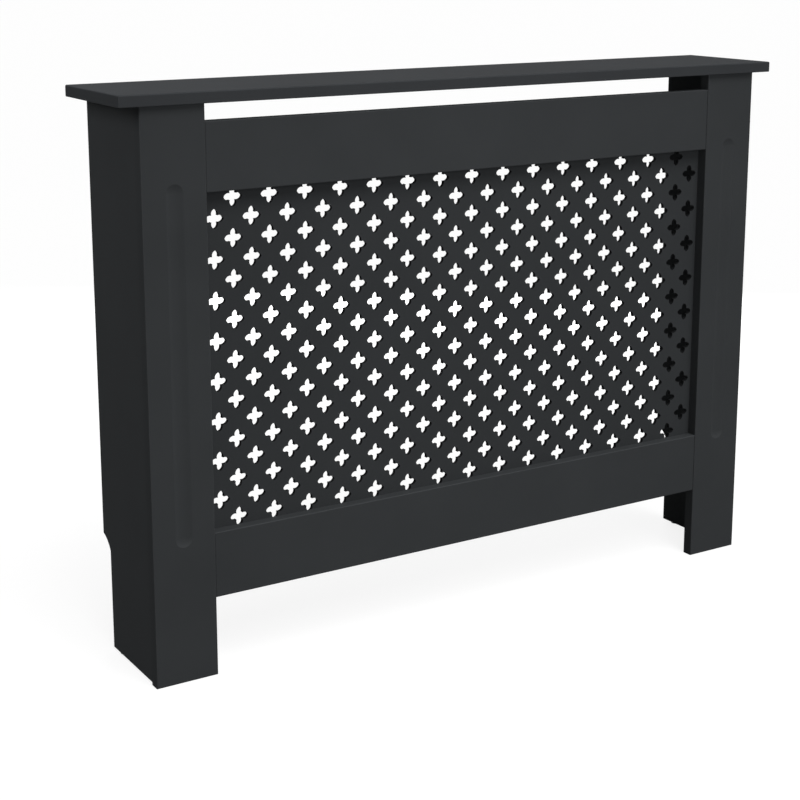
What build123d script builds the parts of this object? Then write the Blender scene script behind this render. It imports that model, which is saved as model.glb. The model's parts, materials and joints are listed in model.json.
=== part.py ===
from build123d import *
import os

os.makedirs("parts", exist_ok=True)

# Radiator cover cabinet: a casing of painted boards that stands over a wall radiator.
# Millimetres, +Z up. The origin is on the floor under the middle of the cover, the front
# faces -Y and the wall is at +Y. The cover is the same on both sides, so what comes in a
# left and a right is drawn on the right (+X) and mirrored.

# ---- Driving dimensions -------------------------------------------------------------

# The whole cover
body_width = 1060.0
overall_height = 820.0
shelf_depth = 190.0
shelf_thickness = 16.0
shelf_front_overhang = 7.0
shelf_end_overhang = 30.0

# The front frame: two uprights (stiles) and two rails
stile_width = 93.0
stile_thickness = 18.0
rail_recess = 1.0
top_rail_height = 95.0
bottom_rail_height = 95.0
warm_air_gap = 24.0
floor_air_gap = 115.0

# The shallow flute that a round-nosed cutter leaves in each stile
flute_width = 25.0
flute_depth = 3.0
flute_above_floor = 198.0
flute_below_shelf = 104.0

# The side panels, cut away at the back for a skirting board
side_thickness = 18.0
side_floor_gap = 3.0
notch_depth = 25.0
notch_straight_height = 151.0
notch_height = 171.0
notch_curve_radius = 40.0

# Edges rounded over before painting
board_edge_radius = 2.0
rail_edge_radius = 1.5
shelf_under_edge_radius = 1.0

# The pierced lattice sheet behind the frame
lattice_thickness = 6.0
lattice_lap = 25.0
column_pitch = 55.8
row_pitch = 56.7
rows_behind_rail = 4.0
lobe_reach = 13.7
lobe_shoulder = 8.4
lobe_half_width = 4.85
neck_half_width = 4.6

# Beech dowels
dowel_diameter = 8.0
dowel_length = 30.0
dowel_in_edge = 20.0
dowel_chamfer = 0.8
dowel_spread = 64.0
stile_dowel_spread = 50.0
shelf_dowel_from_stile = 40.0
shelf_dowel_from_wall = 35.0

# Cam locks and their bolts
cam_diameter = 15.0
cam_height = 12.5
cam_setback = 24.0
cam_wall = 2.8
cam_slot_height = 4.4
cross_width = 7.0
cross_slot = 1.6
cross_depth = 2.6
bolt_thread_diameter = 5.0
bolt_thread_length = 11.0
bolt_stem_diameter = 7.0
bolt_neck_diameter = 3.8
bolt_head_diameter = 7.0
bolt_head_length = 4.0
bolt_bore_diameter = 8.0
side_cam_end_inset = 100.0
shelf_cam_from_wall = 95.0

# Pan-head screws
lattice_screw_diameter = 3.5
lattice_screw_length = 16.0
lattice_screw_head = 7.0
bracket_screw_diameter = 4.0
bracket_screw_length = 14.0
bracket_screw_head = 8.0
screw_head_height = 2.2
screw_head_rounding = 0.9
screw_tip_length = 3.0
screw_cross_depth = 1.0
screw_cross_slot = 0.9
rail_screw_end_inset = 60.0
rail_screw_gaps = 4
stile_screw_pitch = 150.0

# Wall brackets
bracket_leg = 40.0
bracket_width = 20.0
bracket_thickness = 2.0
bracket_bend_radius = 2.0
bracket_below_shelf = 59.0
wall_hole_diameter = 5.5
wall_hole_from_side = 25.0
bracket_screw_near = 15.0
bracket_screw_far = 31.0

# Floor glides under the side panels
glide_diameter = 14.0
glide_edge_radius = 0.8
glide_from_notch = 22.0
nail_diameter = 2.2
nail_length = 15.0
nail_head_diameter = 5.0
nail_head_height = 0.8
nail_recess = 0.7

# Clearances
fit_clearance = 0.05
hole_end_clearance = 0.5
cam_floor_clearance = 0.1

# ---- Planes and lines that the pieces share -----------------------------------------

body_half = body_width / 2
shelf_half = body_half + shelf_end_overhang
front_edge = -shelf_depth / 2
wall = shelf_depth / 2
shelf_underside = overall_height - shelf_thickness

stile_front = front_edge + shelf_front_overhang
stile_back = stile_front + stile_thickness
stile_inner = body_half - stile_width
stile_middle = body_half - stile_width / 2

rail_front = stile_front + rail_recess
rail_thickness = stile_back - rail_front
rail_middle = stile_back - rail_thickness / 2
top_rail_top = shelf_underside - warm_air_gap
top_rail_bottom = top_rail_top - top_rail_height
bottom_rail_top = floor_air_gap + bottom_rail_height
rail_heights = (
    floor_air_gap + bottom_rail_height / 2,
    top_rail_bottom + top_rail_height / 2,
)

side_inner = body_half - side_thickness
side_middle = body_half - side_thickness / 2
foot_back = wall - notch_depth

window_height = top_rail_bottom - bottom_rail_top
window_middle = bottom_rail_top + window_height / 2
lattice_half_width = stile_inner + lattice_lap
lattice_half_height = window_height / 2 + lattice_lap
lattice_back = stile_back + lattice_thickness

bracket_height = shelf_underside - bracket_below_shelf
bracket_face = side_inner - bracket_thickness
glide_place = foot_back - glide_from_notch

# ---- Helpers ------------------------------------------------------------------------

ON_END = (Align.CENTER, Align.CENTER, Align.MIN)
RIGHT = Vector(1, 0, 0)
BACK = Vector(0, 1, 0)
UP = Vector(0, 0, 1)


def block(x_range, y_range, z_range):
    """A box between two values on each axis."""
    size = [high - low for low, high in (x_range, y_range, z_range)]
    corner = [low for low, high in (x_range, y_range, z_range)]
    return Pos(*corner) * Box(*size, align=Align.MIN)


def rod(diameter, start, end):
    """A round bar along Z between two heights."""
    return Pos(0, 0, start) * Cylinder(diameter / 2, end - start, align=ON_END)


def mirrored(shapes):
    """The left-hand twins of right-hand shapes."""
    return [mirror(shape, about=Plane.YZ) for shape in shapes]


def both_sides(shapes):
    return list(shapes) + mirrored(shapes)


def cut(board, cutters):
    """The board with every cutter taken out, as one solid."""
    return board.cut(*cutters).solid()


def write(node, *solids):
    """One STEP file for one named node."""
    shape = solids[0] if len(solids) == 1 else Compound(children=list(solids))
    export_step(shape, f"parts/{node}.step")


# ---- Where the fasteners go ---------------------------------------------------------
# A joint is a plane on the face where two boards meet. Its Z runs into the board that is
# drilled in its edge, and its X points to the face of that board which takes the cam.


def rail_joint(height):
    return Plane((stile_inner, rail_middle, height), x_dir=BACK, z_dir=-RIGHT)


def side_joint(height):
    return Plane((side_middle, stile_back, height), x_dir=-RIGHT, z_dir=BACK)


def shelf_joint(x, y):
    return Plane((x, y, shelf_underside), x_dir=-RIGHT, z_dir=-UP)


def rail_dowel_joints():
    step = dowel_spread / 2
    return [rail_joint(height + offset) for height in rail_heights for offset in (-step, step)]


def rail_cam_joints():
    return [rail_joint(height) for height in rail_heights]


def side_cam_heights():
    low = side_floor_gap + side_cam_end_inset
    high = shelf_underside - side_cam_end_inset
    return low, (low + high) / 2, high


def side_cam_joints():
    return [side_joint(height) for height in side_cam_heights()]


def side_dowel_joints():
    low, middle, high = side_cam_heights()
    return [side_joint((low + middle) / 2), side_joint((middle + high) / 2)]


def shelf_cam_joints():
    return [shelf_joint(side_middle, wall - shelf_cam_from_wall)]


def shelf_side_dowel_joints():
    places = (stile_back + shelf_dowel_from_stile, wall - shelf_dowel_from_wall)
    return [shelf_joint(side_middle, y) for y in places]


def shelf_stile_dowel_joints():
    y = stile_front + stile_thickness / 2
    step = stile_dowel_spread / 2
    return [shelf_joint(stile_middle + offset, y) for offset in (-step, step)]


def rail_screw_seats():
    """Seats of the screws that hold the lattice to the rails, from end to end."""
    reach = stile_inner - rail_screw_end_inset
    gap = 2 * reach / rail_screw_gaps
    edge = window_height / 2 + lattice_lap / 2
    return [
        Plane((-reach + gap * count, lattice_back, window_middle + side * edge), z_dir=-BACK)
        for side in (-1, 1)
        for count in range(rail_screw_gaps + 1)
    ]


def stile_screw_seats():
    """Seats of the screws that hold the lattice to the right stile."""
    x = stile_inner + lattice_lap / 2
    return [
        Plane((x, lattice_back, window_middle + count * stile_screw_pitch), z_dir=-BACK)
        for count in (-1, 0, 1)
    ]


def bracket_screw_seats():
    return [
        Plane((bracket_face, wall - place, bracket_height), z_dir=RIGHT)
        for place in (bracket_screw_near, bracket_screw_far)
    ]


# ---- Holes for the fasteners --------------------------------------------------------


def bore(diameter):
    """A fastener's hole diameter, with its fit clearance all round."""
    return diameter + 2 * fit_clearance


def dowel_holes(joints):
    in_face = dowel_length - dowel_in_edge
    hole = rod(bore(dowel_diameter), -in_face - hole_end_clearance, dowel_in_edge + hole_end_clearance)
    return [joint * hole for joint in joints]


def cam_holes(joints, board_thickness):
    """The hole for the bolt's thread, the bore for its stem and the pocket for the cam."""
    thread = rod(bore(bolt_thread_diameter), -bolt_thread_length - hole_end_clearance, 0)
    stem = rod(bolt_bore_diameter, 0, cam_setback)
    pocket = cam_place(board_thickness) * rod(bore(cam_diameter), 0, cam_height + cam_floor_clearance)
    return [joint * hole for joint in joints for hole in (thread, stem, pocket)]


def screw_holes(seats, diameter, length):
    hole = rod(bore(diameter), 0, length + hole_end_clearance)
    return [seat * hole for seat in seats]


def lattice_screw_holes(seats):
    return screw_holes(seats, lattice_screw_diameter, lattice_screw_length)


def bracket_screw_holes():
    return screw_holes(bracket_screw_seats(), bracket_screw_diameter, bracket_screw_length)


# ---- Fasteners ----------------------------------------------------------------------


def dowel(joint):
    pin = rod(dowel_diameter, dowel_in_edge - dowel_length, dowel_in_edge)
    return joint * chamfer(pin.edges().filter_by(GeomType.CIRCLE), dowel_chamfer)


def cross_recess(width, slot, depth):
    """A cross-shaped screwdriver recess, open at Z = 0 and cut along +Z."""
    bar = Box(width, slot, depth, align=ON_END)
    return [bar, Rot(0, 0, 90) * bar]


def cam_place(board_thickness):
    """Where the cam drops into its board: on the face, with Z running into the board."""
    return Plane((board_thickness / 2, 0, cam_setback), x_dir=UP, z_dir=-RIGHT)


def cam_lock(joint, board_thickness):
    """A drum with a screwdriver cross, hollow below and slotted towards the joint."""
    bolt_level = board_thickness / 2
    drum = rod(cam_diameter, 0, cam_height)
    hollow_top = bolt_level - bolt_head_diameter / 2 - cam_floor_clearance
    hollow = rod(cam_diameter - 2 * cam_wall, hollow_top, cam_height)
    slot = Pos(0, 0, bolt_level) * Box(
        cam_diameter / 2, cam_diameter, cam_slot_height, align=(Align.MAX, Align.CENTER, Align.CENTER)
    )
    cross = cross_recess(cross_width, cross_slot, cross_depth)
    return joint * cam_place(board_thickness) * cut(drum, [hollow, slot, *cross])


def cam_bolt(joint):
    """A thread in one board, then a stem, a neck and the head that the cam pulls on."""
    rim = cam_setback - cam_diameter / 2
    head_start = cam_setback - bolt_head_length + hole_end_clearance / 2
    thread = rod(bolt_thread_diameter, -bolt_thread_length, 0)
    stem = rod(bolt_stem_diameter, 0, rim - hole_end_clearance)
    neck = rod(bolt_neck_diameter, rim - hole_end_clearance, head_start)
    head = rod(bolt_head_diameter, head_start, head_start + bolt_head_length)
    return joint * (thread + stem + neck + head).solid()


def pan_screw(seat, diameter, length, head_diameter):
    """A screw whose head sits on the seat, and whose shank runs along the seat's Z."""
    head = rod(head_diameter, -screw_head_height, 0)
    head = fillet(head.edges().group_by(Axis.Z)[0], screw_head_rounding)
    shank = rod(diameter, 0, length - screw_tip_length)
    tip = Pos(0, 0, length - screw_tip_length) * Cone(
        diameter / 2, diameter / 8, screw_tip_length, align=ON_END
    )
    cross = cross_recess(head_diameter / 2, screw_cross_slot, screw_cross_depth)
    recess = [Pos(0, 0, -screw_head_height) * bar for bar in cross]
    return seat * cut(head + shank + tip, recess)


# ---- Boards -------------------------------------------------------------------------


def top_shelf():
    board = block((-shelf_half, shelf_half), (front_edge, wall), (shelf_underside, overall_height))
    board = fillet(board.edges().sort_by(Axis.Z)[4:], board_edge_radius)
    board = fillet(board.faces().sort_by(Axis.Z)[0].edges(), shelf_under_edge_radius)
    dowels = dowel_holes(shelf_side_dowel_joints() + shelf_stile_dowel_joints())
    cams = cam_holes(shelf_cam_joints(), side_thickness)
    return cut(board, both_sides(dowels + cams))


def flute_cutters():
    """A round bar and its ball ends, which stand in front of the stile and just cut into it."""
    half_width = flute_width / 2
    radius = (half_width**2 + flute_depth**2) / (2 * flute_depth)
    low = flute_above_floor + half_width
    high = shelf_underside - flute_below_shelf - half_width
    axis = Pos(stile_middle, stile_front + flute_depth - radius, 0)
    balls = [axis * Pos(0, 0, height) * Sphere(radius) for height in (low, high)]
    return [axis * rod(2 * radius, low, high), *balls]


def stile():
    """The right stile. Its front corners and foot are rounded over, its joints are not."""
    board = block((stile_inner, body_half), (stile_front, stile_back), (0, shelf_underside))
    face = board.faces().sort_by(Axis.Y)[0]
    board = fillet(face.edges().sort_by(Axis.Z)[:-1], board_edge_radius)
    joints = dowel_holes(rail_dowel_joints() + side_dowel_joints() + shelf_stile_dowel_joints())
    cams = cam_holes(rail_cam_joints(), rail_thickness) + cam_holes(side_cam_joints(), side_thickness)
    screws = lattice_screw_holes(stile_screw_seats())
    return cut(board, [*flute_cutters(), *joints, *cams, *screws])


def rail(low, high):
    """A rail. Its front is rounded over all round, its back along both long edges."""
    board = block((-stile_inner, stile_inner), (rail_front, stile_back), (low, high))
    front = board.faces().sort_by(Axis.Y)[0]
    back = board.faces().sort_by(Axis.Y)[-1]
    board = fillet(front.edges() + back.edges().filter_by(Axis.X), rail_edge_radius)
    dowels = dowel_holes(rail_dowel_joints())
    cams = cam_holes(rail_cam_joints(), rail_thickness)
    screws = lattice_screw_holes(rail_screw_seats())
    return cut(board, both_sides(dowels + cams) + screws)


def side_outline():
    """The side panel seen from the side: Y across, Z up, with the skirting notch."""
    curve = RadiusArc(
        (foot_back, notch_straight_height), (wall, notch_height), notch_curve_radius
    )
    sides = Polyline(
        (wall, notch_height),
        (wall, shelf_underside),
        (stile_back, shelf_underside),
        (stile_back, side_floor_gap),
        (foot_back, side_floor_gap),
        (foot_back, notch_straight_height),
    )
    return make_face(curve + sides)


def side_panel():
    board = Plane.YZ.offset(side_inner) * extrude(side_outline(), side_thickness)
    outer = board.faces().sort_by(Axis.X)[-1]
    rounded = outer.edges().filter_by(lambda edge: edge.center().Y > stile_back + board_edge_radius)
    rounded = rounded.filter_by(lambda edge: edge.center().Z < shelf_underside - board_edge_radius)
    board = fillet(rounded, board_edge_radius)
    dowels = dowel_holes(side_dowel_joints() + shelf_side_dowel_joints())
    cams = cam_holes(side_cam_joints() + shelf_cam_joints(), side_thickness)
    nail = screw_holes([nail_seat()], nail_diameter, nail_length)
    return cut(board, dowels + cams + bracket_screw_holes() + nail)


# ---- The lattice --------------------------------------------------------------------


def quatrefoil():
    """The outline of one opening: four lobes, each two arcs from the neck to the tip."""
    neck = (neck_half_width, neck_half_width)
    shoulder = (lobe_shoulder, lobe_half_width)
    tip = (lobe_reach, 0)
    upper = ThreePointArc(tip, shoulder, neck)
    lower = mirror(upper, about=Plane.XZ)
    lobes = [Rot(0, 0, 90 * turn) * arc for turn in range(4) for arc in (lower, upper)]
    return Wire([edge for lobe in lobes for edge in lobe.edges()])


def opening_places():
    """Staggered centres that fill the window between the stiles and the rails."""
    across = int((stile_inner - lobe_reach) / (column_pitch / 2))
    upward = int((window_height / 2 + rows_behind_rail - lobe_reach) / (row_pitch / 2))
    return [
        (column * column_pitch / 2, row * row_pitch / 2)
        for row in range(-upward, upward + 1)
        for column in range(-across, across + 1)
        if (row + column) % 2 == 0
    ]


def lattice_panel():
    """A flat sheet drawn about the window's middle, pierced and then set behind the frame."""
    sheet = Rectangle(2 * lattice_half_width, 2 * lattice_half_height).face().outer_wire()
    opening = quatrefoil()
    openings = [Pos(x, y) * opening for x, y in opening_places()]
    panel = extrude(Face(sheet, openings), lattice_thickness)
    place = Plane((0, lattice_back, window_middle), x_dir=RIGHT, z_dir=-BACK)
    screws = lattice_screw_holes(rail_screw_seats() + stile_screw_seats())
    screws += mirrored(lattice_screw_holes(stile_screw_seats()))
    return cut(place * panel, screws)


# ---- Wall brackets and floor glides -------------------------------------------------


def wall_bracket():
    """The right angle bracket: one leg on the side panel, one against the wall."""
    low = bracket_height - bracket_width / 2
    high = bracket_height + bracket_width / 2
    outer = block((side_inner - bracket_leg, side_inner), (wall - bracket_leg, wall), (low, high))
    inner = block(
        (side_inner - bracket_leg, bracket_face),
        (wall - bracket_leg, wall - bracket_thickness),
        (low, high),
    )
    angle = outer - inner
    upright = angle.edges().filter_by(Axis.Z)
    inside = upright.sort_by_distance((bracket_face, wall - bracket_thickness, bracket_height))[0]
    angle = fillet(inside, bracket_bend_radius)
    upright = angle.edges().filter_by(Axis.Z)
    outside = upright.sort_by_distance((side_inner, wall, bracket_height))[0]
    angle = fillet(outside, bracket_bend_radius + bracket_thickness)
    wall_hole = Plane(
        (side_inner - wall_hole_from_side, wall, bracket_height), z_dir=-BACK
    ) * rod(wall_hole_diameter, 0, bracket_thickness)
    return cut(angle, [wall_hole, *bracket_screw_holes()])


def nail_seat():
    """Where the glide's nail head sits, with Z running up into the side panel."""
    return Plane((side_middle, glide_place, nail_recess + nail_head_height), z_dir=UP)


def floor_glide():
    disc = Pos(side_middle, glide_place) * rod(glide_diameter, 0, side_floor_gap)
    disc = fillet(disc.edges().group_by(Axis.Z)[0], glide_edge_radius)
    nail_hole = nail_seat() * rod(bore(nail_diameter), 0, side_floor_gap)
    counterbore = nail_seat() * rod(bore(nail_head_diameter), -side_floor_gap, 0)
    return cut(disc, [nail_hole, counterbore])


def glide_nail():
    head = rod(nail_head_diameter, -nail_head_height, 0)
    shank = rod(nail_diameter, 0, nail_length)
    return nail_seat() * (head + shank).solid()


# ---- The nodes ----------------------------------------------------------------------

right_stile = stile()
right_side = side_panel()
right_bracket = wall_bracket()

write("top_shelf", top_shelf())
write("right_stile", right_stile)
write("left_stile", *mirrored([right_stile]))
write("top_rail", rail(top_rail_bottom, top_rail_top))
write("bottom_rail", rail(floor_air_gap, bottom_rail_top))
write("right_side_panel", right_side)
write("left_side_panel", *mirrored([right_side]))
write("lattice_panel", lattice_panel())
write("right_wall_bracket", right_bracket)
write("left_wall_bracket", *mirrored([right_bracket]))

write("rail_dowels", *both_sides([dowel(joint) for joint in rail_dowel_joints()]))
write("side_dowels", *both_sides([dowel(joint) for joint in side_dowel_joints()]))
shelf_dowel_joints = shelf_side_dowel_joints() + shelf_stile_dowel_joints()
write("shelf_dowels", *both_sides([dowel(joint) for joint in shelf_dowel_joints]))

write("rail_cam_locks", *both_sides([cam_lock(joint, rail_thickness) for joint in rail_cam_joints()]))
write("side_cam_locks", *both_sides([cam_lock(joint, side_thickness) for joint in side_cam_joints()]))
write("shelf_cam_locks", *both_sides([cam_lock(joint, side_thickness) for joint in shelf_cam_joints()]))
write("rail_cam_bolts", *both_sides([cam_bolt(joint) for joint in rail_cam_joints()]))
write("side_cam_bolts", *both_sides([cam_bolt(joint) for joint in side_cam_joints()]))
write("shelf_cam_bolts", *both_sides([cam_bolt(joint) for joint in shelf_cam_joints()]))


def lattice_screw(seat):
    return pan_screw(seat, lattice_screw_diameter, lattice_screw_length, lattice_screw_head)


def bracket_screw(seat):
    return pan_screw(seat, bracket_screw_diameter, bracket_screw_length, bracket_screw_head)


rail_screws = [lattice_screw(seat) for seat in rail_screw_seats()]
stile_screws = [lattice_screw(seat) for seat in stile_screw_seats()]
write("lattice_screws", *rail_screws, *both_sides(stile_screws))
write("bracket_screws", *both_sides([bracket_screw(seat) for seat in bracket_screw_seats()]))
write("floor_glides", *both_sides([floor_glide()]))
write("glide_nails", *both_sides([glide_nail()]))
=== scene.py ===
import json
import math

import bmesh
import bpy
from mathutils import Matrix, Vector

# A radiator cover cabinet: boards in matt anthracite paint, a pierced lattice sheet behind
# the front frame, and flat-pack hardware inside. Metres, +Z up, the front faces -Y.

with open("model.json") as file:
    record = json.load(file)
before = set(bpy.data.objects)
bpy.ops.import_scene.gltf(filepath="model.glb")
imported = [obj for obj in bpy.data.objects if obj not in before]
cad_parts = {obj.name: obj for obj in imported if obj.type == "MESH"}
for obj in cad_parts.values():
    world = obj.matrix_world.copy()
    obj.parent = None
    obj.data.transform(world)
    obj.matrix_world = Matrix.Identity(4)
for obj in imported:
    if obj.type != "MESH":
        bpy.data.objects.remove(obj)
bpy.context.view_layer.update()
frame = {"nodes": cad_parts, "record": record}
nodes = frame["nodes"]

# ---- Camera and studio: places and strengths ----------------------------------------

camera_place = Vector((-1.3559, -2.0638, 1.0146))
camera_turn = math.radians(-31.673)
camera_tilt = math.radians(90.0 - 11.952)
camera_lens = 74.33
camera_sensor = 36.0
camera_shift = -0.14

overhead_from = Vector((0.12, -0.38, 1.0))
overhead_strength = 0.92
slanting_from = Vector((0.0, -0.75, 1.0))
slanting_strength = 1.83
sun_softness = math.radians(35.0)

front_box_place = Vector((0.35, -1.8, 0.95))
front_box_target = Vector((0.0, 0.0, 0.45))
front_box_size = (0.8, 0.6)
front_box_watts = 3.1
near_box_place = Vector((0.0, -1.3, 0.8))
near_box_target = Vector((0.0, 0.0, 0.45))
near_box_size = (0.8, 0.8)
near_box_watts = 6.1
side_box_place = Vector((-1.7, 0.0, 1.5))
side_box_target = Vector((-0.53, 0.0, 0.55))
side_box_size = (0.3, 0.8)
side_box_watts = 8.0
rear_box_place = Vector((1.3, 1.9, 0.42))
rear_box_target = Vector((0.0, 0.0, 0.42))
rear_box_size = (1.6, 0.6)
rear_box_watts = 62.0

air_light = 0.01
backdrop_seen = 1.0
floor_size = 60.0
floor_glow = 0.86
floor_paint = 0.17
floor_bounce = 0.15

# ---- Finishes: paint and metal colours; the lattice's edge colour is partly painted shade ---

anthracite = (0.0347, 0.0371, 0.0390, 1.0)
rail_anthracite = (0.0344, 0.0368, 0.0388, 1.0)
shelf_anthracite = (0.0316, 0.0338, 0.0364, 1.0)
shelf_edge_anthracite = (0.0350, 0.0373, 0.0400, 1.0)
lattice_anthracite = (0.0297, 0.0318, 0.0336, 1.0)
# The walls of the lattice's openings: cut edges with thin paint, darkened to near black as
# painted shade.
lattice_edge_painted_shade = (0.0070, 0.0075, 0.0080, 1.0)
zinc_plate = (0.52, 0.54, 0.57, 1.0)
bracket_zinc = (0.44, 0.46, 0.49, 1.0)
die_cast_zinc = (0.34, 0.35, 0.36, 1.0)
beech_light = (0.66, 0.47, 0.30, 1.0)
beech_dark = (0.46, 0.29, 0.16, 1.0)
nylon_white = (0.82, 0.82, 0.79, 1.0)


def grey(value):
    return (value, value, value, 1.0)


# ---- Node trees ---------------------------------------------------------------------

column_width = 200
middle_of_noise = (0.3, 0.7)


class Shading:
    """A node tree that is built from left to right."""

    def __init__(self, tree):
        self.tree = tree
        self.column = 0

    def node(self, kind, **settings):
        made = self.tree.nodes.new(kind)
        made.location = (self.column, 0)
        self.column += column_width
        for name, value in settings.items():
            setattr(made, name, value)
        return made

    def put(self, value, socket):
        """A link where the value is a socket, else a plain value."""
        if isinstance(value, bpy.types.NodeSocket):
            self.tree.links.new(value, socket)
        else:
            socket.default_value = value

    def math(self, operation, first, second=0.0):
        made = self.node("ShaderNodeMath", operation=operation)
        self.put(first, made.inputs[0])
        self.put(second, made.inputs[1])
        return made.outputs[0]

    def vector(self, operation, first, second=(0.0, 0.0, 0.0)):
        made = self.node("ShaderNodeVectorMath", operation=operation)
        self.put(first, made.inputs[0])
        self.put(second, made.inputs[1])
        return made.outputs["Value"] if operation == "DOT_PRODUCT" else made.outputs["Vector"]

    def remap(self, value, was, becomes):
        """The value, with the range it was in stretched to the range it becomes, and clamped."""
        made = self.node("ShaderNodeMapRange")
        self.put(value, made.inputs["Value"])
        self.put(was[0], made.inputs["From Min"])
        self.put(was[1], made.inputs["From Max"])
        self.put(becomes[0], made.inputs["To Min"])
        self.put(becomes[1], made.inputs["To Max"])
        return made.outputs["Result"]

    def mix(self, factor, first, second, blend_type="MIX"):
        made = self.node("ShaderNodeMix", data_type="RGBA", blend_type=blend_type)
        self.put(factor, made.inputs["Factor"])
        self.put(first, made.inputs["A"])
        self.put(second, made.inputs["B"])
        return made.outputs["Result"]

    def noise(self, place, size, detail=2.0):
        """Soft random spots of about this size in metres, from 0 to 1."""
        made = self.node("ShaderNodeTexNoise")
        self.put(place, made.inputs["Vector"])
        made.inputs["Scale"].default_value = 1.0 / size
        made.inputs["Detail"].default_value = detail
        return made.outputs[0]

    def relief(self, height, depth):
        """The normal of a surface whose hollows are this deep in metres."""
        made = self.node("ShaderNodeBump")
        made.inputs["Distance"].default_value = depth
        self.put(height, made.inputs["Height"])
        return made.outputs["Normal"]


def new_group(name, inputs):
    """A node group with these inputs that puts out a colour, a roughness and a normal."""
    tree = bpy.data.node_groups.new(name, "ShaderNodeTree")
    for label, kind, value in inputs:
        tree.interface.new_socket(label, in_out="INPUT", socket_type=kind).default_value = value
    for label, kind in (
        ("Colour", "NodeSocketColor"),
        ("Roughness", "NodeSocketFloat"),
        ("Normal", "NodeSocketVector"),
    ):
        tree.interface.new_socket(label, in_out="OUTPUT", socket_type=kind)
    shading = Shading(tree)
    return shading, shading.node("NodeGroupInput").outputs


def close_group(shading, **results):
    made = shading.node("NodeGroupOutput")
    for label, value in results.items():
        shading.put(value, made.inputs[label])


def new_material(name):
    """A material, its tree and the inputs of its surface."""
    material = bpy.data.materials.new(name)
    material.use_nodes = True
    shading = Shading(material.node_tree)
    return material, shading, material.node_tree.nodes["Principled BSDF"].inputs


def group_finish(name, group, values, **surface_values):
    """A material whose colour, roughness and normal come from a group with these values."""
    material, shading, surface = new_material(name)
    made = shading.node("ShaderNodeGroup", node_tree=group)
    for label, value in values.items():
        made.inputs[label].default_value = value
    shading.put(made.outputs["Colour"], surface["Base Color"])
    shading.put(made.outputs["Roughness"], surface["Roughness"])
    shading.put(made.outputs["Normal"], surface["Normal"])
    for label, value in surface_values.items():
        surface[label.replace("_", " ")].default_value = value
    return material


# ---- Studio -------------------------------------------------------------------------


def make_camera():
    data = bpy.data.cameras.new("front_left_camera")
    data.lens = camera_lens
    data.sensor_width = camera_sensor
    data.shift_y = camera_shift
    camera = bpy.data.objects.new("front_left_camera", data)
    camera.location = camera_place
    camera.rotation_euler = (camera_tilt, 0.0, camera_turn)
    bpy.context.scene.collection.objects.link(camera)
    bpy.context.scene.camera = camera


def place_lamp(name, data, place, towards_light):
    """A lamp that the eye doesn't see. Its light comes from the direction towards_light."""
    lamp = bpy.data.objects.new(name, data)
    lamp.location = place
    lamp.rotation_mode = "QUATERNION"
    lamp.rotation_quaternion = towards_light.to_track_quat("Z", "Y")
    lamp.visible_camera = False
    bpy.context.scene.collection.objects.link(lamp)
    return lamp


def make_sun(name, strength, towards_light):
    data = bpy.data.lights.new(name, "SUN")
    data.energy = strength
    data.angle = sun_softness
    place_lamp(name, data, (0.0, 0.0, 0.0), towards_light)


def make_softbox(name, watts, size, place, target):
    data = bpy.data.lights.new(name, "AREA")
    data.shape = "RECTANGLE"
    data.size, data.size_y = size
    data.energy = watts
    return place_lamp(name, data, place, place - target)


def seen_directly(shading):
    """1 for rays from the eye, from gloss and through glass, else 0."""
    path = shading.node("ShaderNodeLightPath").outputs
    seen = shading.math("MAXIMUM", path["Is Camera Ray"], path["Is Glossy Ray"])
    return shading.math("MAXIMUM", seen, path["Is Transmission Ray"])


def make_world():
    world = bpy.data.worlds.new("studio_air")
    world.use_nodes = True
    bpy.context.scene.world = world
    shading = Shading(world.node_tree)
    background = world.node_tree.nodes["Background"].inputs
    colour = shading.mix(seen_directly(shading), grey(air_light), grey(backdrop_seen))
    shading.put(colour, background["Color"])
    background["Strength"].default_value = 1.0


def make_floor():
    """A white floor. Most of the white that the eye sees is its glow, so shadows stay pale."""
    form = bmesh.new()
    bmesh.ops.create_grid(form, x_segments=1, y_segments=1, size=floor_size / 2)
    mesh = bpy.data.meshes.new("studio_floor")
    form.to_mesh(mesh)
    form.free()
    floor = bpy.data.objects.new("studio_floor", mesh)
    bpy.context.scene.collection.objects.link(floor)
    paint, shading, surface = new_material("pale_floor")
    seen = seen_directly(shading)
    shading.put(shading.mix(seen, grey(floor_bounce), grey(floor_paint)), surface["Base Color"])
    shading.put(shading.mix(seen, grey(0.0), grey(floor_glow)), surface["Emission Color"])
    surface["Emission Strength"].default_value = 1.0
    surface["Roughness"].default_value = 1.0
    surface["Specular IOR Level"].default_value = 0.0
    mesh.materials.append(paint)


bpy.context.scene.view_settings.view_transform = "Standard"
make_camera()
make_world()
make_floor()
make_sun("overhead_light", overhead_strength, overhead_from)
make_sun("slanting_light", slanting_strength, slanting_from)
make_softbox("front_softbox", front_box_watts, front_box_size, front_box_place, front_box_target)
make_softbox("near_softbox", near_box_watts, near_box_size, near_box_place, near_box_target)
make_softbox("side_softbox", side_box_watts, side_box_size, side_box_place, side_box_target)
rear_softbox = make_softbox(
    "rear_softbox", rear_box_watts, rear_box_size, rear_box_place, rear_box_target
)
# It only fills in the back: its reflection would wash out the zinc there.
rear_softbox.visible_glossy = False

# ---- Paint --------------------------------------------------------------------------

mottle_size = 0.11
mottle_detail = 3.0
mottle_amount = 0.045
stipple_size = 0.0014
stipple_depth = 0.00005
edge_fibre_size = 0.0005
edge_to_face = (0.35, 0.75)
arris_to_flat = (0.75, 0.985)
# How much lighter the arrises are painted: a painted highlight on the rounded edges.
arris_painted_highlight = 0.28
arris_polish = 0.10
edge_roughening = 0.06
paint_roughness = 0.80
paint_gloss = 0.04


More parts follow.
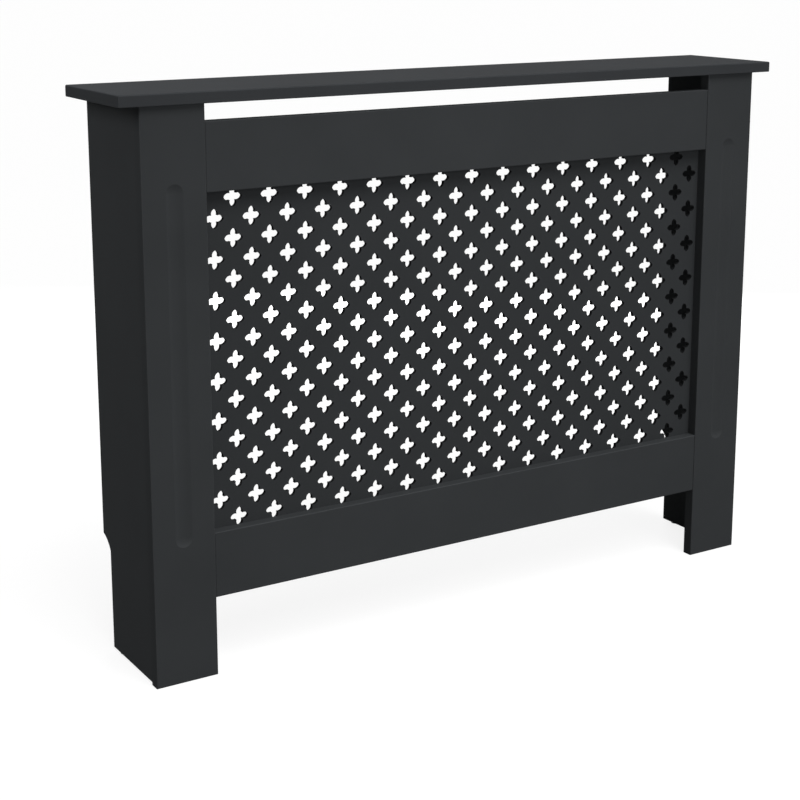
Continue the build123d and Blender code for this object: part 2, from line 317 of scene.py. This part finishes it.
def painted_board_group():
    """Rolled paint: faintly mottled, stippled, rougher on sawn edges, a painted highlight on
    arrises.
    """
    shading, given = new_group(
        "painted_board",
        (
            ("Paint", "NodeSocketColor", anthracite),
            ("Edge Paint", "NodeSocketColor", anthracite),
            ("Board Face", "NodeSocketVector", (0.0, 1.0, 0.0)),
            ("Roughness", "NodeSocketFloat", paint_roughness),
        ),
    )
    place = shading.node("ShaderNodeTexCoord").outputs["Object"]
    normal = shading.node("ShaderNodeNewGeometry").outputs["Normal"]

    facing = shading.math("ABSOLUTE", shading.vector("DOT_PRODUCT", normal, given["Board Face"]))
    edge = shading.remap(facing, edge_to_face, (1.0, 0.0))

    parts = shading.node("ShaderNodeSeparateXYZ")
    shading.put(shading.vector("ABSOLUTE", normal), parts.inputs[0])
    steepest = shading.math("MAXIMUM", parts.outputs[0], parts.outputs[1])
    steepest = shading.math("MAXIMUM", steepest, parts.outputs[2])
    arris = shading.remap(steepest, arris_to_flat, (1.0, 0.0))

    mottle = shading.noise(place, mottle_size, mottle_detail)
    tone = shading.remap(mottle, middle_of_noise, (1.0 - mottle_amount, 1.0 + mottle_amount))
    # The arrises are painted lighter here: a painted highlight, not a change in the paint itself.
    painted_highlight = shading.remap(arris, (0.0, 1.0), (1.0, 1.0 + arris_painted_highlight))
    tone = shading.math("MULTIPLY", tone, painted_highlight)
    # Sawn edges take the Edge Paint colour. On the lattice that colour is near black, partly
    # painted shade in the openings.
    paint = shading.mix(edge, given["Paint"], given["Edge Paint"])
    toned = shading.node("ShaderNodeVectorMath", operation="SCALE")
    shading.put(paint, toned.inputs[0])
    shading.put(tone, toned.inputs["Scale"])

    polish = shading.remap(arris, (0.0, 1.0), (0.0, -arris_polish))
    fuzz = shading.remap(edge, (0.0, 1.0), (0.0, edge_roughening))
    roughness = shading.math("ADD", given["Roughness"], shading.math("ADD", polish, fuzz))

    stipple = shading.noise(place, stipple_size)
    fibres = shading.math("MULTIPLY", edge, shading.noise(place, edge_fibre_size))
    normal = shading.relief(shading.math("ADD", stipple, fibres), stipple_depth)
    close_group(shading, Colour=toned.outputs["Vector"], Roughness=roughness, Normal=normal)
    return shading.tree


painted_board = painted_board_group()
along_x, along_y, along_z = (1.0, 0.0, 0.0), (0.0, 1.0, 0.0), (0.0, 0.0, 1.0)


def board_paint(name, face, paint=anthracite, edge_paint=None):
    """Paint on a board whose broad faces look along one axis."""
    values = {
        "Paint": paint,
        "Edge Paint": edge_paint or paint,
        "Board Face": face,
        "Roughness": paint_roughness,
    }
    return group_finish(name, painted_board, values, Specular_IOR_Level=paint_gloss)


# ---- Metal, beech and nylon ---------------------------------------------------------

zinc_roughness = 0.35
zinc_cloud = 0.1
zinc_cloud_size = 0.004
zinc_cloud_detail = 4.0
zinc_grain_size = 0.0006
zinc_grain_depth = 0.00001

fleck_size = 0.0012
fleck_detail = 3.0
fleck_depth = 0.00005
fleck_rim = (0.45, 0.65)
fleck_scale_along_grain = 0.08
beech_roughness = (0.55, 0.75)

nylon_bloom = (0.74, 0.74, 0.71, 1.0)
nylon_bloom_size = 0.003
nylon_roughness = (0.42, 0.52)
nylon_grain_size = 0.0005
nylon_grain_depth = 0.00001
nylon_milkiness = 0.08
nylon_light_reach = (0.002, 0.002, 0.002)


def zinc_group():
    """Zinc, plated or cast: cloudy, with a fine grain and a little orange peel."""
    shading, given = new_group(
        "zinc",
        (
            ("Metal", "NodeSocketColor", zinc_plate),
            ("Roughness", "NodeSocketFloat", zinc_roughness),
            ("Cloud", "NodeSocketFloat", zinc_cloud),
        ),
    )
    place = shading.node("ShaderNodeTexCoord").outputs["Object"]
    cloud = shading.noise(place, zinc_cloud_size, zinc_cloud_detail)
    swing = shading.remap(cloud, middle_of_noise, (-1.0, 1.0))
    shade = shading.math("MULTIPLY", given["Cloud"], swing)
    toned = shading.node("ShaderNodeVectorMath", operation="SCALE")
    shading.put(given["Metal"], toned.inputs[0])
    shading.put(shading.math("ADD", 1.0, shade), toned.inputs["Scale"])
    roughness = shading.math("ADD", given["Roughness"], shade)
    normal = shading.relief(shading.noise(place, zinc_grain_size), zinc_grain_depth)
    close_group(shading, Colour=toned.outputs["Vector"], Roughness=roughness, Normal=normal)
    return shading.tree


zinc = zinc_group()


def zinc_finish(name, metal, roughness, cloud):
    """Zinc of this colour; cloud is how far its tone and roughness wander."""
    values = {"Metal": metal, "Roughness": roughness, "Cloud": cloud}
    return group_finish(name, zinc, values, Metallic=1.0)


def beech_finish(name, grain):
    """Turned beech with its flecks stretched along the grain."""
    material, shading, surface = new_material(name)
    place = shading.node("ShaderNodeTexCoord").outputs["Object"]
    scale = tuple(fleck_scale_along_grain if along else 1.0 for along in grain)
    flecks = shading.noise(shading.vector("MULTIPLY", place, scale), fleck_size, fleck_detail)
    darkness = shading.remap(flecks, fleck_rim, (0.0, 1.0))
    shading.put(shading.mix(darkness, beech_light, beech_dark), surface["Base Color"])
    roughness = shading.remap(flecks, middle_of_noise, beech_roughness)
    shading.put(roughness, surface["Roughness"])
    shading.put(shading.relief(flecks, fleck_depth), surface["Normal"])
    return material


def nylon_finish(name):
    """Moulded white nylon with the faint bloom of the mould."""
    material, shading, surface = new_material(name)
    place = shading.node("ShaderNodeTexCoord").outputs["Object"]
    bloom = shading.noise(place, nylon_bloom_size)
    shading.put(shading.mix(bloom, nylon_white, nylon_bloom), surface["Base Color"])
    roughness = shading.remap(bloom, middle_of_noise, nylon_roughness)
    shading.put(roughness, surface["Roughness"])
    grain = shading.noise(place, nylon_grain_size)
    shading.put(shading.relief(grain, nylon_grain_depth), surface["Normal"])
    surface["Subsurface Weight"].default_value = nylon_milkiness
    surface["Subsurface Radius"].default_value = nylon_light_reach
    return material


# ---- Each slot of the record gets its finish ----------------------------------------

finishes = {
    "shelf_paint": board_paint("shelf_paint", along_z, shelf_anthracite, shelf_edge_anthracite),
    "frame_paint": board_paint("frame_paint", along_y),
    "rail_paint": board_paint("rail_paint", along_y, rail_anthracite),
    "side_paint": board_paint("side_paint", along_x),
    # Its opening walls take the near-black edge colour: thin paint on the cut edges, darkened
    # further as painted shade.
    "lattice_paint": board_paint("lattice_paint", along_y, lattice_anthracite, lattice_edge_painted_shade),
    "bracket_steel": zinc_finish("bracket_steel", bracket_zinc, roughness=0.42, cloud=0.06),
    "plated_steel": zinc_finish("plated_steel", zinc_plate, roughness=0.30, cloud=0.08),
    "cast_zinc": zinc_finish("cast_zinc", die_cast_zinc, roughness=0.48, cloud=0.10),
    "white_nylon": nylon_finish("white_nylon"),
}
beech = {
    "rail_dowels": beech_finish("beech_across", along_x),
    "side_dowels": beech_finish("beech_to_the_back", along_y),
    "shelf_dowels": beech_finish("beech_upright", along_z),
}

for subpart in frame["record"]["subparts"]:
    name = subpart["node"]
    slots = nodes[name].data.materials
    slots.clear()
    slots.append(beech[name] if name in beech else finishes[subpart["material_slot"]])
